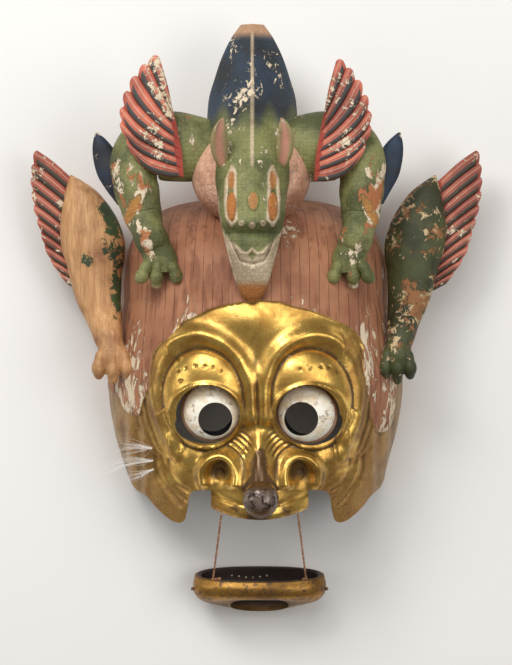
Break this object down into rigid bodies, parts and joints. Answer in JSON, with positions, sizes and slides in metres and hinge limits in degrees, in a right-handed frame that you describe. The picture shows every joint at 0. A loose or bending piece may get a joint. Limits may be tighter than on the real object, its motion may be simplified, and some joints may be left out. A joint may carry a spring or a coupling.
{
  "type": "dragon-crested bugaku dance mask",
  "caption": "Carved and gilded wooden dance mask with loose eyeballs, a lower jaw hung on two cords and a winged dragon crest",
  "frame": {"origin": "middle of the whole object's footprint, on the surface it lies on", "axes": "+Y from the jaw towards the dragon's tail, +Z out of the face, +X to the viewer's right"},
  "size_m": [0.3556, 0.4616, 0.1449],
  "materials": {
    "gilt_wood": "carved wood with worn gilding and brown lacquer",
    "eye_white": "cracked cream paint on carved wood",
    "twisted_cord": "tan twisted cord",
    "dragon_green": "flaking green and blue paint over pale ground on carved wood",
    "red_feathers": "red and dark grey paint on carved feathers",
    "bare_wood": "bare brown wood with patches of green paint",
    "white_hair": "stiff white animal hair"
  },
  "bodies": {
    "mask": {"mask_shell": "gilt_wood", "dragon_body": "dragon_green", "foreleg_left": "dragon_green", "forewing_left": "red_feathers", "hind_leg_left": "bare_wood", "hind_wing_left": "red_feathers", "foreleg_right": "dragon_green", "forewing_right": "red_feathers", "hind_leg_right": "dragon_green", "hind_wing_right": "red_feathers", "whisker_tuft_1": "white_hair", "whisker_tuft_2": "white_hair", "whisker_tuft_3": "white_hair"},
    "eye_left": {"eyeball_left": "eye_white"},
    "eye_right": {"eyeball_right": "eye_white"},
    "jaw": {"jaw": "gilt_wood", "jaw_cord_left": "twisted_cord", "jaw_cord_right": "twisted_cord"}
  },
  "joints": [
    {"name": "jaw_swing", "type": "hinge", "parent": "mask", "child": "jaw", "pos_m": [0.00245, -0.14949, 0.09343], "axis": [1, 0, 0], "range_deg": [-80, 0]},
    {"name": "eye_left_roll", "type": "hinge", "parent": "mask", "child": "eye_left", "pos_m": [-0.03415, -0.06979, 0.09466], "axis": [1, 0, 0], "range_deg": [-10, 10]},
    {"name": "eye_right_roll", "type": "hinge", "parent": "mask", "child": "eye_right", "pos_m": [0.03845, -0.07159, 0.09466], "axis": [1, 0, 0], "range_deg": [-10, 10]}
  ]
}
